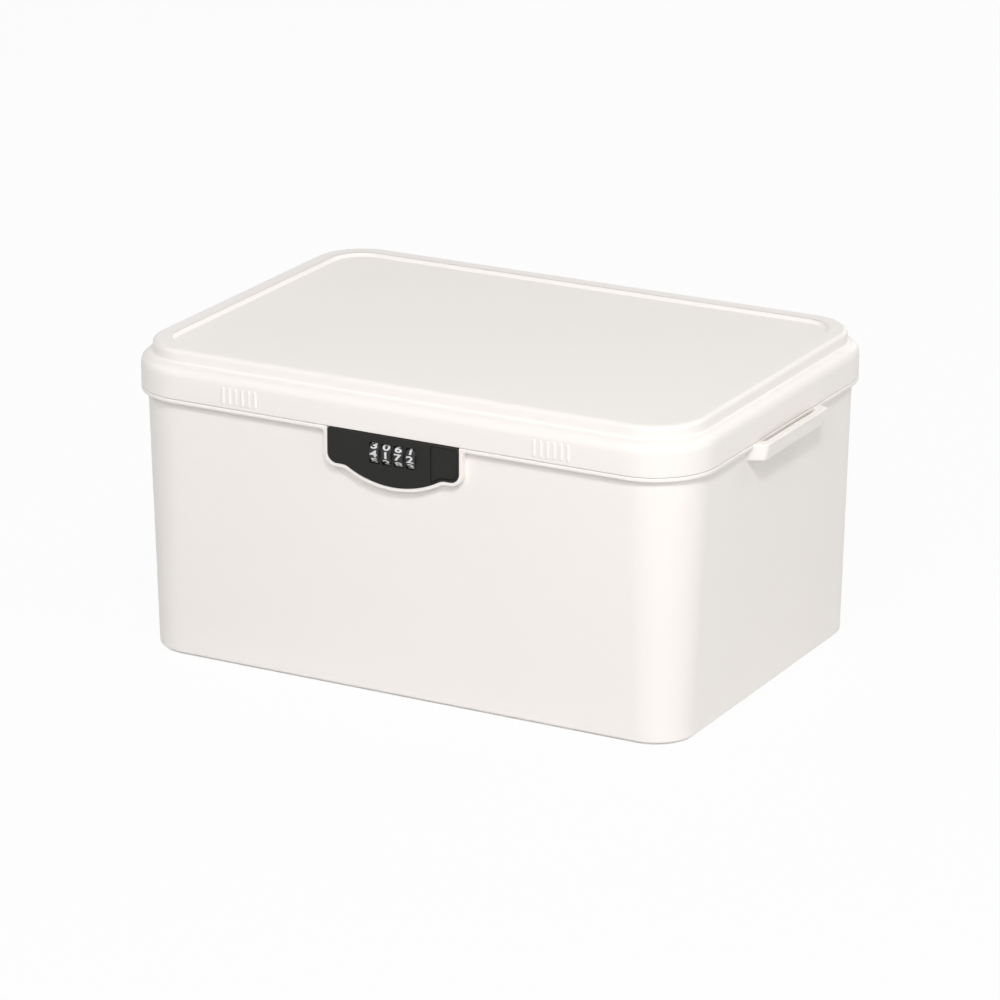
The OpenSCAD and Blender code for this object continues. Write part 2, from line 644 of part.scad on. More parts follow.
// Comb of leaf springs that rests on the backs of the wheels
module detent_spring() {
    depth = [case_back - leaf_t, case_back];
    color(steel) union() {
        lock_block([dial_x(1) - 2.6, dial_x(dial_count) + 2.6], depth, [-case_ih + 0.3, -4.6]);
        for (i = [1:dial_count])
            lock_block([dial_x(i) - 1.5, dial_x(i) + 1.5], depth, [-4.8, 3.5]);
    }
}
module reset_button() {
    foot = 3.2;
    color(black) along_depth(reset_x, case_back - foot, lock_z) rotate_extrude($fn = 48)
        polygon([[0, 0], [reset_r, 0], [reset_r, foot - 1.2], [reset_r + 0.9, foot - 1.2],
                 [reset_r + 0.9, foot - 0.2], [reset_r, foot - 0.2],
                 [reset_r, foot + cover_t + 1.2], [reset_r - 0.4, foot + cover_t + 1.6],
                 [0, foot + cover_t + 1.6]]);
}

// Dials: a number wheel keyed to a core that the spindle's fins pass through
core_r = 4.2;
core_bore = 3.6;
gate_w = 1.4;           // web inside the core with one gate
fin_w = 1.6;
fin_r = 3.3;
key_w = 1.4;
module dial_wheel(i) {
    bevel = 0.5;
    h = wheel_w / 2;
    color(black) along_x(dial_x(i), spindle_d, lock_z) difference() {
        rotate_extrude($fn = 96) polygon([
            [core_r + run_gap, -h], [wheel_r - bevel, -h], [wheel_r, -h + bevel],
            [wheel_r, h - bevel], [wheel_r - bevel, h], [core_r + run_gap, h]]);
        for (k = [0:digit_count - 1])
            rotate([0, 0, (k + 0.5) * 360 / digit_count + 90]) translate([wheel_r + 0.15, 0, -h - 1])
                cylinder(r = 0.5, h = wheel_w + 2, $fn = 24);
        translate([-core_r - 1.05, -key_w / 2 - run_gap, -h - 1])
            cube([2, key_w + 2 * run_gap, wheel_w + 2]);
    }
}
module dial_core(i) {
    h = wheel_w / 2;
    color("dimgray") along_x(dial_x(i), spindle_d, lock_z) difference() {
        union() {
            cylinder(r = core_r, h = wheel_w, center = true, $fn = 64);
            translate([-core_r - 0.9, -key_w / 2, -h + 0.6]) cube([1.5, key_w, wheel_w - 1.2]);
        }
        for (s = [-1, 1]) translate([0, 0, s * (h + gate_w / 2 + 0.5) / 2 + s * 0.1])
            cylinder(r = core_bore, h = h - gate_w / 2 + 0.7, center = true, $fn = 64);
        cylinder(r = spindle_r + run_gap, h = wheel_w + 2, center = true, $fn = 48);
        translate([-core_bore + 0.1, -fin_w / 2 - 0.2, -h])
            cube([core_bore - 1, fin_w + 0.4, wheel_w]);
    }
}
module dial_wheel_1() { dial_wheel(1); }
module dial_wheel_2() { dial_wheel(2); }
module dial_wheel_3() { dial_wheel(3); }
module dial_wheel_4() { dial_wheel(4); }
module dial_core_1() { dial_core(1); }
module dial_core_2() { dial_core(2); }
module dial_core_3() { dial_core(3); }
module dial_core_4() { dial_core(4); }

// Spindle with one fin for each dial, beside the gate at rest
module spindle() {
    fin_l = 1.4;
    color(steel) union() {
        along_x(spindle_left, spindle_d, lock_z)
            cylinder(r = spindle_r, h = prong_x[1] - 1 - spindle_left, $fn = 48);
        for (i = [1:dial_count])
            lock_block([dial_x(i) + slide_travel / 2 - fin_l / 2,
                        dial_x(i) + slide_travel / 2 + fin_l / 2],
                       [spindle_d - fin_w / 2, spindle_d + fin_w / 2], [0, fin_r]);
    }
}
module latch_bolt() {
    nose_d = catch_d + catch_t / 2;
    tip = catch_x + bolt_tip_gap;
    color(steel) difference() {
        union() {
            lock_block([spindle_left, spindle_left + bolt_block_w],
                       [spindle_d - 3, nose_d + bolt_t / 2], [-block_h, block_h]);
            lock_block([tip, spindle_left + 1], [nose_d - bolt_t / 2, nose_d + bolt_t / 2],
                       [-bolt_h / 2, bolt_h / 2]);
        }
        along_x(spindle_left - 1, spindle_d, lock_z)
            cylinder(r = spindle_r + fixed_gap, h = bolt_block_w + 2, $fn = 48);
    }
}
module slide_carriage() {
    color("dimgray") difference() {
        lock_block(carriage_x, [right_front + 0.1, spindle_d + 3.8],
                   [-prong_z[0] + fixed_gap, prong_z[0] - fixed_gap]);
        along_x(carriage_x[0] - 1, spindle_d, lock_z)
            cylinder(r = spindle_r + fixed_gap, h = prong_x[1] - carriage_x[0], $fn = 48);
    }
}
module slider_button() {
    inset = slider_edge + seat_gap;
    color(black) union() {
        intersection() {
            outline_loft([
                outline_ring(-inset, plate_top - inset, 2, slider_sink + slider_t),
                outline_ring(-inset, plate_top - inset, 2, slider_sink + 0.3),
                outline_ring(-inset - 0.3, plate_top - inset - 0.3, 2, slider_sink)]);
            slider_area(slider_x - tuck, plate_hw);
        }
        for (s = [0, 1]) translate([0, 0, lock_z]) mirror([0, 0, s]) translate([0, 0, -lock_z])
            lock_block(prong_x, [slider_sink + slider_t / 2, spindle_d + 3], prong_z);
    }
}

// Catch that hangs from the lid, with a notch for the bolt
module catch() {
    x0 = catch_x - catch_w;
    z_top = catch_top - lock_z;
    color(steel) difference() {
        union() {
            lock_block([x0, catch_x], [catch_d, catch_d + catch_t], [catch_tip_z - lock_z, z_top]);
            lock_block([x0, catch_x], [catch_d, catch_back], [z_top - catch_t, z_top]);
        }
        lock_block([catch_x - slide_travel - bolt_gap, catch_x + 1],
                   [catch_d - 1, catch_d + catch_t + 1],
                   [-bolt_h / 2 - bolt_gap, bolt_h / 2 + bolt_gap]);
        catch_bosses(1.6, catch_top - 5, catch_top + 1);
    }
}
module catch_screws() {
    len = 9;
    color(steel) for (x = [catch_x - 2.6, catch_x - catch_w + 2.6])
        translate([x, y_at(catch_boss_d), catch_top - catch_t + len]) rotate([180, 0, 0])
            screw(1.25, len, 2.4, 1.4);
}

tub();
lid();
hinge_pin_left();
hinge_pin_right();
faceplate();
lock_case();
lock_cover();
lock_screws();
cover_screws();
detent_spring();
reset_button();
dial_wheel_1();
dial_wheel_2();
dial_wheel_3();
dial_wheel_4();
dial_core_1();
dial_core_2();
dial_core_3();
dial_core_4();
spindle();
latch_bolt();
slide_carriage();
slider_button();
catch();
catch_screws();
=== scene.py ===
# %% [markdown]
# # A white lock box with four number wheels
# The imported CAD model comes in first, as a fixed frame that nothing below moves.
# What follows gives its parts their finish, puts finer copies in the place of two mouldings and
# adds the numbers on the wheels. The alternative would be to remodel everything in Blender, but
# then sizes and joints would drift away from the working model, so only what gains from finer
# mesh work is made here.

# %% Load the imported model
import math

import bmesh
import bpy
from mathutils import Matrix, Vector


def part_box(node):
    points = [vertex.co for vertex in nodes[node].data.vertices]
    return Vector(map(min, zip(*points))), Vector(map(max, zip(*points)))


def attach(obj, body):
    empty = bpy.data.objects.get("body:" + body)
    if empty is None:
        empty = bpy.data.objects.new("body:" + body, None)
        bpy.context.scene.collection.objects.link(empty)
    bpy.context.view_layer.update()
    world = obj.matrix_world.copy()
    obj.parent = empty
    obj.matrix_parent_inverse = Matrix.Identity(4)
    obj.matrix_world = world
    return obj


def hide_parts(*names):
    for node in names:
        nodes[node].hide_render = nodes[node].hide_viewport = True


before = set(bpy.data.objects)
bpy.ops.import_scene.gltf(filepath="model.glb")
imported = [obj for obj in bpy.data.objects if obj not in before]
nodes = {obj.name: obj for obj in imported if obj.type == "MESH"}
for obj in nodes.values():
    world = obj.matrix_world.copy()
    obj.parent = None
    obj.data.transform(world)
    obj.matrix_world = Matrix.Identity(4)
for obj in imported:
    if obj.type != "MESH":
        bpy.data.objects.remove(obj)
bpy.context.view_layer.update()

MM = 0.001                  # a millimetre in the scene's metres


def add_object(name, data):
    """Puts new data into the scene as an object."""
    made = bpy.data.objects.new(name, data)
    bpy.context.scene.collection.objects.link(made)
    return made


# %% [markdown]
# The camera comes next, because every choice of shape and light is judged through it.
# A product photo of this kind is taken with a long lens from above the front right corner.
# One could place the camera by eye, but the picture's straight edges fix it much better: the
# numbers here are the direction, distance and focal length that lay the model's edges on them.

# %% Camera
CAMERA_AZIMUTH = 28.56      # degrees round from the front
CAMERA_ELEVATION = 18.70
CAMERA_DISTANCE = 3055.5    # mm from the point that it looks at
AIM = (-0.71, 3.68)         # mm that the view's middle lies right of and above the aim point
AIM_HEIGHT = 83.6           # mm, height of the aim point above the middle of the underside
FOCAL_SHARE = 5.03492       # focal length as a share of the picture's width
SENSOR = 36                 # mm
CLIP_END = 100              # m


def direction(azimuth, elevation):
    """Unit vector that leads from the box to a place given in degrees."""
    a, e = math.radians(azimuth), math.radians(elevation)
    return Vector((math.sin(a) * math.cos(e), -math.cos(a) * math.cos(e), math.sin(e)))


back = direction(CAMERA_AZIMUTH, CAMERA_ELEVATION)
right = direction(CAMERA_AZIMUTH + 90, 0)
up = back.cross(right)

camera = add_object("camera", bpy.data.cameras.new("camera"))
camera.data.sensor_width = SENSOR
camera.data.lens = FOCAL_SHARE * SENSOR
camera.data.clip_end = CLIP_END
camera.location = (back * CAMERA_DISTANCE + right * AIM[0] + up * AIM[1]
                   + Vector((0, 0, AIM_HEIGHT))) * MM
camera.rotation_mode = "QUATERNION"
camera.rotation_quaternion = (-back).to_track_quat("-Z", "Y")
bpy.context.scene.camera = camera
bpy.context.scene.view_settings.view_transform = "Standard"
print("camera at", [round(v, 3) for v in camera.location], "lens", round(camera.data.lens, 1))

# %% [markdown]
# The studio is a pale floor in pale surroundings. A photographer burns such a floor out to pure
# white. A floor that shines white by itself would do that too, but it would light the box from
# below. Here only the camera and mirrored rays see the white, mixed with the lit floor, so the
# floor throws back a part of the light and keeps a faint shadow.


# %% Floor and surroundings
def node_of(tree, kind, **values):
    """Adds one shader node and sets its inputs and settings by name."""
    node = tree.nodes.new(kind)
    for name, value in values.items():
        socket = node.inputs.get(name.replace("_", " "))
        if socket is not None:
            socket.default_value = value
        else:
            setattr(node, name, value)
    return node


def seen_directly(tree):
    """1 for rays that show the studio: straight from the camera, mirrored or through glass."""
    rays = node_of(tree, "ShaderNodeLightPath")
    mirrored = node_of(tree, "ShaderNodeMath", operation="MAXIMUM")
    tree.links.new(rays.outputs["Is Camera Ray"], mirrored.inputs[0])
    tree.links.new(rays.outputs["Is Glossy Ray"], mirrored.inputs[1])
    either = node_of(tree, "ShaderNodeMath", operation="MAXIMUM")
    tree.links.new(mirrored.outputs[0], either.inputs[0])
    tree.links.new(rays.outputs["Is Transmission Ray"], either.inputs[1])
    return either.outputs[0]


STUDIO_WHITE = (1, 1, 1, 1)
FILL = 0.08                         # strength of the white surroundings as a light
FLOOR_WHITE = 0.955                 # share of pure white in what the camera sees of the floor
FLOOR_GREY = (0.7, 0.7, 0.7, 1)     # how much light the floor throws back
FLOOR_HALF = 12                     # m, half the floor's width

world = bpy.data.worlds.new("studio")
bpy.context.scene.world = world
world.use_nodes = True
tree = world.node_tree
tree.nodes.clear()
strength = node_of(tree, "ShaderNodeMapRange")
strength.inputs["To Min"].default_value = FILL
strength.inputs["To Max"].default_value = 1
tree.links.new(seen_directly(tree), strength.inputs["Value"])
sky = node_of(tree, "ShaderNodeBackground", Color=STUDIO_WHITE)
tree.links.new(strength.outputs[0], sky.inputs["Strength"])
tree.links.new(sky.outputs[0], node_of(tree, "ShaderNodeOutputWorld").inputs["Surface"])

floor_paint = bpy.data.materials.new("studio_floor")
floor_paint.use_nodes = True
tree = floor_paint.node_tree
tree.nodes.clear()
lit = node_of(tree, "ShaderNodeBsdfDiffuse", Color=FLOOR_GREY)
pure = node_of(tree, "ShaderNodeEmission", Color=STUDIO_WHITE, Strength=1)
share = node_of(tree, "ShaderNodeMath", operation="MULTIPLY")
share.inputs[1].default_value = FLOOR_WHITE
tree.links.new(seen_directly(tree), share.inputs[0])
mixed = node_of(tree, "ShaderNodeMixShader")
tree.links.new(share.outputs[0], mixed.inputs[0])
tree.links.new(lit.outputs[0], mixed.inputs[1])
tree.links.new(pure.outputs[0], mixed.inputs[2])
tree.links.new(mixed.outputs[0], node_of(tree, "ShaderNodeOutputMaterial").inputs["Surface"])

floor_mesh = bpy.data.meshes.new("studio_floor")
floor_mesh.from_pydata([(s * FLOOR_HALF, t * FLOOR_HALF, 0)
                        for s, t in ((-1, -1), (1, -1), (1, 1), (-1, 1))], [], [(0, 1, 2, 3)])
floor_mesh.materials.append(floor_paint)
floor = add_object("studio_floor", floor_mesh)
print("floor", 2 * FLOOR_HALF, "m wide, throws back", FLOOR_GREY[0], "of the light")

# %% [markdown]
# A small key light stands to the front right and throws the handle's shadow down and back along
# the side wall. Square softboxes at the front, at both sides and behind fill the rest, and each
# wall gets its own tone that way. One bright sky would be simpler, but it would leave no shadow
# under handle and bead and light every wall alike.

# %% Lamps
# Place round from the front and up in degrees, side of the square in m, power in W
LAMP_DISTANCE = 3.0
LAMPS = {
    "key_light": (37, 43, 0.4, 30),
    "front_softbox": (10, 34, 1.6, 39.5),
    "right_softbox": (79, 20, 1.4, 21),
    "left_softbox": (-70, 35, 1.4, 14),
    "rear_left_softbox": (-135, 45, 1.4, 5),
    "rear_softbox": (178, 16, 1.4, 8),
    "rear_right_softbox": (140, 40, 1.4, 16),
}


def lamp(name, azimuth, elevation, size, power):
    """A square soft light that shines at the middle of the box from a given direction."""
    light = bpy.data.lights.new(name, "AREA")
    light.size = size
    light.energy = power
    toward = direction(azimuth, elevation)
    body = add_object(name, light)
    body.location = toward * LAMP_DISTANCE + Vector((0, 0, AIM_HEIGHT * MM))
    body.rotation_mode = "QUATERNION"
    body.rotation_quaternion = (-toward).to_track_quat("-Z", "Y")


for name, setting in LAMPS.items():
    lamp(name, *setting)
print("lamps:", list(LAMPS))

# %% [markdown]
# Plastic and plated metal differ in colour and gloss, but both vary in the same three ways: in
# tone, in sheen and in fine relief. Painted textures could show that, but the parts are unfolded
# nowhere. So each way is one small group of nodes, driven by noise in the object's own space.

# %% What the finishes share
MIX_LOW, MIX_HIGH, MIX_RESULT = 6, 7, 2     # the mix node's sockets for colours


def new_paint(name):
    """A material, its node tree, its shader and the places on the object."""
    paint = bpy.data.materials.new(name)
    paint.use_nodes = True
    tree = paint.node_tree
    place = node_of(tree, "ShaderNodeTexCoord").outputs["Object"]
    return paint, tree, tree.nodes["Principled BSDF"], place


def noise(tree, place, size, detail):
    """Noise whose spots are about size mm wide."""
    texture = node_of(tree, "ShaderNodeTexNoise", Scale=1 / (size * MM), Detail=detail)
    tree.links.new(place, texture.inputs["Vector"])
    return texture.outputs["Fac"]


def vary_tone(tree, shader, pattern, color, share):
    """Lets the colour drift up and down by a share of itself."""
    tone = node_of(tree, "ShaderNodeMix", data_type="RGBA")
    tree.links.new(pattern, tone.inputs["Factor"])
    tone.inputs[MIX_LOW].default_value = (*[c * (1 - share) for c in color], 1)
    tone.inputs[MIX_HIGH].default_value = (*[min(1, c * (1 + share)) for c in color], 1)
    tree.links.new(tone.outputs[MIX_RESULT], shader.inputs["Base Color"])


def vary_sheen(tree, shader, pattern, roughness, spread):
    """Lets the roughness go up and down by spread."""
    sheen = node_of(tree, "ShaderNodeMapRange")
    sheen.inputs["To Min"].default_value = roughness - spread
    sheen.inputs["To Max"].default_value = roughness + spread
    tree.links.new(pattern, sheen.inputs["Value"])
    tree.links.new(sheen.outputs[0], shader.inputs["Roughness"])


def add_bumps(tree, shader, pattern, height):
    """Bumps of a height in mm, on top of those that the shader has already."""
    bump = node_of(tree, "ShaderNodeBump", Strength=1, Distance=height * MM)
    tree.links.new(pattern, bump.inputs["Height"])
    normal = shader.inputs["Normal"]
    if normal.is_linked:
        tree.links.new(normal.links[0].from_socket, bump.inputs["Normal"])
    tree.links.new(bump.outputs["Normal"], normal)


print("shared by all finishes: tone, sheen and bumps")

# %% [markdown]
# The box is injection moulded in white plastic. Seen close it isn't one flat colour: the
# polish of the mould gives a soft gloss with faint waves, a very fine grain breaks up the
# highlights, and the tone drifts a little over a hand's width. One flat colour would be simpler,
# but large pale walls would look like paper. The black parts get the same in other sizes.


# %% Plastic finishes
SHEEN_SHARE = 1 / 6         # width of the sheen's spots as a share of the tone's


def plastic(name, color, roughness, drift=0.03, drift_size=60, wave=0.0, wave_size=30,
            grain=0.01, grain_size=0.4, gloss=0.5, spread=0.06):
    """Moulded plastic: drift is the change of tone, wave and grain are heights in mm."""
    paint, tree, shader, place = new_paint(name)
    shader.inputs["Specular IOR Level"].default_value = gloss
    clouds = noise(tree, place, drift_size, detail=4)
    vary_tone(tree, shader, clouds, color, drift)
    patches = noise(tree, place, drift_size * SHEEN_SHARE, detail=3)
    vary_sheen(tree, shader, patches, roughness, spread)
    for height, size, detail in ((wave, wave_size, 1), (grain, grain_size, 2)):
        if height:
            add_bumps(tree, shader, noise(tree, place, size, detail), height)
    return paint


white_shell = plastic("white_shell", (0.885, 0.845, 0.81), 0.36, drift=0.008, drift_size=90,
                      wave=0.02, wave_size=45, grain=0.003, grain_size=0.5)
black_plate = plastic("black_plate", (0.0125, 0.0125, 0.0115), 0.55, drift=0.08, drift_size=12,
                      grain=0.012, grain_size=0.35, gloss=0.25)
black_case = plastic("black_case", (0.034, 0.034, 0.036), 0.48, drift=0.1, drift_size=10,
                     grain=0.008, grain_size=0.3)
wheel_black = plastic("wheel_black", (0.016, 0.016, 0.017), 0.38, drift=0.1, drift_size=6,
                      grain=0.004, grain_size=0.25, gloss=0.4)
works_grey = plastic("works_grey", (0.15, 0.15, 0.155), 0.45, drift=0.06, drift_size=9,
                     grain=0.006, grain_size=0.3)
digit_white = plastic("digit_white", (0.64, 0.64, 0.63), 0.5, drift=0.05, drift_size=1.5,
                      grain=0.006, grain_size=0.15)
plastics = (white_shell, black_plate, black_case, wheel_black, works_grey, digit_white)
print("plastics:", [paint.name for paint in plastics])

# %% [markdown]
# Pins, screws, the bolt and the catch are zinc-plated steel, and the detent comb is rolled
# spring steel. Plating is bright but cloudy, and rolling leaves fine lines along the strip.
# A metal shader with one noise for the clouds and a stretched one for the lines shows both.


# %% Metal finishes
def metal(name, color, roughness, lines=(1, 1, 1), line_size=0.4, height=0.004,
          cloud=0.12, cloud_size=3, spread=0.08):
    """Plated or rolled steel. lines stretches the fine noise along one axis."""
    paint, tree, shader, place = new_paint(name)
    shader.inputs["Metallic"].default_value = 1
    vary_tone(tree, shader, noise(tree, place, cloud_size, detail=3), color, cloud)
    stretch = node_of(tree, "ShaderNodeMapping", Scale=lines)
    tree.links.new(place, stretch.inputs["Vector"])
    fine = noise(tree, stretch.outputs[0], line_size, detail=2)
    vary_sheen(tree, shader, fine, roughness, spread)
    add_bumps(tree, shader, fine, height)
    return paint


zinc_steel = metal("zinc_steel", (0.60, 0.61, 0.62), 0.32)
rolled_steel = metal("rolled_steel", (0.50, 0.50, 0.51), 0.28, lines=(1, 1, 0.08))
print("metals:", [paint.name for paint in (zinc_steel, rolled_steel)])

# %% [markdown]
# The CAD parts arrive with facets where a form was lofted. The real mouldings are smooth there,
# with crisp edges only where faces meet at an angle. The vertices stay where they are: a small
# node group joins the doubled points, shades everything smooth and keeps the true edges sharp,
# and a second modifier weighs the normals by area, so that flat walls stay flat.

# %% Smooth shading for the CAD parts
SHARP_ANGLE = math.radians(28)
JOIN_DISTANCE = 0.001       # mm, points closer than this are one point


def smoothing_group():
    """Nodes that join doubled points, shade faces smooth and keep the sharp edges."""
    group = bpy.data.node_groups.new("smooth_moulding", "GeometryNodeTree")
    group.interface.new_socket("Geometry", in_out="INPUT", socket_type="NodeSocketGeometry")
    group.interface.new_socket("Geometry", in_out="OUTPUT", socket_type="NodeSocketGeometry")
    start = group.nodes.new("NodeGroupInput")
    merge = group.nodes.new("GeometryNodeMergeByDistance")
    merge.inputs["Distance"].default_value = JOIN_DISTANCE * MM
    plain = group.nodes.new("GeometryNodeRemoveAttribute")
    plain.inputs["Name"].default_value = "custom_normal"
    faces = group.nodes.new("GeometryNodeSetShadeSmooth")
    faces.domain = "FACE"
    angle = group.nodes.new("GeometryNodeInputMeshEdgeAngle")
    sharp = group.nodes.new("FunctionNodeCompare")
    sharp.data_type = "FLOAT"
    sharp.operation = "GREATER_THAN"
    sharp.inputs[1].default_value = SHARP_ANGLE
    edges = group.nodes.new("GeometryNodeSetShadeSmooth")
    edges.domain = "EDGE"
    edges.inputs["Shade Smooth"].default_value = False
    end = group.nodes.new("NodeGroupOutput")
    chain = [start, merge, plain, faces, edges, end]
    for one, other in zip(chain, chain[1:]):
        group.links.new(one.outputs[0], other.inputs[0])
    group.links.new(angle.outputs["Unsigned Angle"], sharp.inputs[0])
    group.links.new(sharp.outputs[0], edges.inputs["Selection"])
    return group


SMOOTH_GROUP = smoothing_group()


def shade_smooth(part, paint):
    """Gives a part its material and its smooth shading."""
    part.data.materials.clear()
    part.data.materials.append(paint)
    smooth = part.modifiers.new("smooth_moulding", "NODES")
    smooth.node_group = SMOOTH_GROUP
    weigh = part.modifiers.new("flat_faces_first", "WEIGHTED_NORMAL")
    weigh.keep_sharp = True


print("edges sharper than", round(math.degrees(SHARP_ANGLE)), "degrees stay sharp")

# %% [markdown]
# Every CAD part gets its finish by name: white mouldings, black lock, grey works, steel pins and
# screws. The model's own list has one black for plate and case, and one could follow it. But the
# plate and the slider are what one sees, so they get a darker and duller black of their own.

# %% Finishes of the CAD parts
WHEELS = range(1, 5)
FINISHES = {
    "tub": white_shell, "lid": white_shell,
    "faceplate": black_plate, "slider_button": black_plate,
    "lock_case": black_case, "lock_cover": black_case,
    "reset_button": works_grey, "slide_carriage": works_grey,
    "hinge_pin_left": zinc_steel, "hinge_pin_right": zinc_steel,
    "lock_screws": zinc_steel, "cover_screws": zinc_steel, "catch_screws": zinc_steel,
    "spindle": zinc_steel, "latch_bolt": zinc_steel, "catch": zinc_steel,
    "detent_spring": rolled_steel,
    **{f"dial_wheel_{i}": wheel_black for i in WHEELS},
    **{f"dial_core_{i}": works_grey for i in WHEELS},
}
for name, paint in FINISHES.items():
    shade_smooth(nodes[name], paint)
print(len(FINISHES), "CAD nodes finished of", len(nodes))

# %% [markdown]
# Two mouldings need a little more than the solids hold: the lid's step and the tub's beads.
# Modelling them anew would lose their fit to the lock, the hinges and each other. Only a few
# rings of points differ, so each gets a copy of its mesh with those points moved, and the copy
# stands for the solid. Most places are found by their inset, how far in from the lid's outline
# they lie, because walls, beads and rims all follow that one rounded rectangle.

# %% Copies of the mouldings
LID_HALF = (190, 132)       # mm, half the lid's width and depth
LID_CORNER = 40             # mm, radius of its plan corners


def inward(point):
    """Inset of a point from the lid's outline in metres, and the level way that leads inwards."""
    half, radius = Vector(LID_HALF) * MM, LID_CORNER * MM
    side = Vector((math.copysign(1, point.x), math.copysign(1, point.y)))
    corner = Vector((abs(point.x) - half.x + radius, abs(point.y) - half.y + radius))
    if corner.x > 0 and corner.y > 0:
        way, reach = corner.normalized(), corner.length
    elif corner.x > corner.y:
        way, reach = Vector((1, 0)), corner.x
    else:
        way, reach = Vector((0, 1)), corner.y
    return radius - reach, Vector((-way.x * side.x, -way.y * side.y, 0))


def joined_copy(node):
    """The node's mesh as an editable form, with its doubled points joined."""
    form = bmesh.new()
    form.from_mesh(nodes[node].data)
    bmesh.ops.remove_doubles(form, verts=form.verts, dist=JOIN_DISTANCE * MM)
    return form


def stand_in(form, name, node, body):
    """Turns an edited form into the piece that stands for a white moulding."""
    mesh = bpy.data.meshes.new(name)
    form.to_mesh(mesh)
    form.free()
    piece = add_object(name, mesh)
    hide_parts(node)
    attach(piece, body)
    shade_smooth(piece, white_shell)


# %% [markdown]
# The lid's top panel lies a little below its rim. On the real lid the rim is about 9 mm wide and
# the step down to the panel is short, so it draws one thin bright line. The working model has a
# narrower rim, so three rings of points move inwards.

# %% Lid with its step farther in
PANEL_SINK = 2.2            # mm, depth of the panel below the rim
STEP_RINGS = ((12.6, 18.3), (13.1, 18.8), (15.6, 20.6))     # inset before and after, mm
RING_MISS = 0.15            # mm, how far a point may lie from its ring's inset
LEVEL_MISS = 0.1            # mm, and from the panel's level

form = joined_copy("lid")
panel_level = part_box("lid")[1].z - PANEL_SINK * MM
moved = 0
for v in form.verts:
    inset, way = inward(v.co)
    for before, after in STEP_RINGS:
        if v.co.z > panel_level - LEVEL_MISS * MM and abs(inset - before * MM) < RING_MISS * MM:
            v.co += way * (after - before) * MM
            moved += 1
stand_in(form, "lid_shell", "lid", "lid")
print("lid_shell: moved", moved, "points")

# %% [markdown]
# The tub has one bead under the lid's edge and another round the lock's plate. On the real tub
# both are crisp: the underside runs nearly level to the wall and throws a thin dark line, and
# the lock's bead drops to the wall within a millimetre. The solids have long slopes there,
# which are kinder to a mould and a printer. Here the foot of the slope under the lid moves up,
# and the foot of the slope round the plate moves towards the bead's crest.

# %% Tub with crisp beads
# Lengths in mm
FRONT = -LID_HALF[1]                # the plane of the beads' crests at the front
WALL_LEAN = 0.029                   # how far the wall leans in for each mm down
SLOPE_TOP = (0.3, 162.86)           # inset and height of the rim bead's lower edge
SLOPE_FOOT = (4.19, 159.36)         # and of the slope's foot on the wall
FOOT_HEIGHT = 162.3                 # new height of that foot
CREST_DEPTH = 0.4                   # the lock bead's crest lies this far behind the front
SQUEEZE = 0.12                      # share of the lock bead's slope width that stays
BEAD_SIDE = 60                      # the lock bead lies within this far of the middle
BEAD_HEIGHTS = (125, 163.2)         # and between these heights
PLANE_MISS = 0.03                   # how far a crest point may lie from the crest's plane
BEHIND_CREST = 0.05                 # slope points lie at least this far behind it
UNDER_INSETS = (0.35, 4.3)          # where the rim bead's underside lies
UNDER_HEIGHTS = (159.2, 162.95)
UNDER_MISS = 0.35                   # how far its points may lie from the straight slope


def slope_height(inset, foot_height):
    """Height in mm of the rim bead's underside at an inset."""
    share = (inset - SLOPE_TOP[0]) / (SLOPE_FOOT[0] - SLOPE_TOP[0])
    return SLOPE_TOP[1] + (foot_height - SLOPE_TOP[1]) * share


form = joined_copy("tub")
crest = {v for v in form.verts
         if abs(v.co.y / MM - FRONT - CREST_DEPTH) < PLANE_MISS
         and abs(v.co.x / MM) < BEAD_SIDE
         and BEAD_HEIGHTS[0] < v.co.z / MM < BEAD_HEIGHTS[1]}
lines = [[(v.co.x, v.co.z) for v in e.verts] for e in form.edges if crest.issuperset(e.verts)]
slope = {w for v in crest for e in v.link_edges for w in e.verts
         if w.co.y / MM - FRONT > CREST_DEPTH + BEHIND_CREST}


def nearest_on_crest(x, z):
    """The crest's point nearest to a point on the slope, seen from the front."""
    best = None
    for a, b in lines:
        a, b, p = Vector(a), Vector(b), Vector((x, z))
        along = max(0, min(1, (p - a).dot(b - a) / (b - a).length_squared))
        q = a + (b - a) * along
        if best is None or (q - p).length < (best - p).length:
            best = q
    return best


for v in slope:
    p = Vector((v.co.x, v.co.z))
    target = nearest_on_crest(*p)
    target += (p - target) * SQUEEZE
    v.co = Vector((target.x, v.co.y - (target.y - v.co.z) * WALL_LEAN, target.y))

raised = 0
for v in form.verts:
    inset, way = inward(v.co)
    depth, height = inset / MM, v.co.z / MM
    near = (UNDER_INSETS[0] < depth < UNDER_INSETS[1]
            and UNDER_HEIGHTS[0] < height < UNDER_HEIGHTS[1])
    on_slope = abs(height - slope_height(depth, SLOPE_FOOT[1])) < UNDER_MISS
    if near and on_slope and v not in crest:
        lift = slope_height(depth, FOOT_HEIGHT) - height
        v.co += Vector((0, 0, lift * MM)) - way * lift * WALL_LEAN * MM
        raised += 1
print("tub_shell: drew in", len(slope), "points round the plate, raised", raised, "under the rim")

# %% [markdown]
# Two more places on the tub differ by a millimetre or two. It stands on a foot set back under its
# lower edge, which shows as a thin dark line above the floor. And the handles' bars are thicker
# on top, with a narrow slot behind them and a front that leans in towards its lower edge.

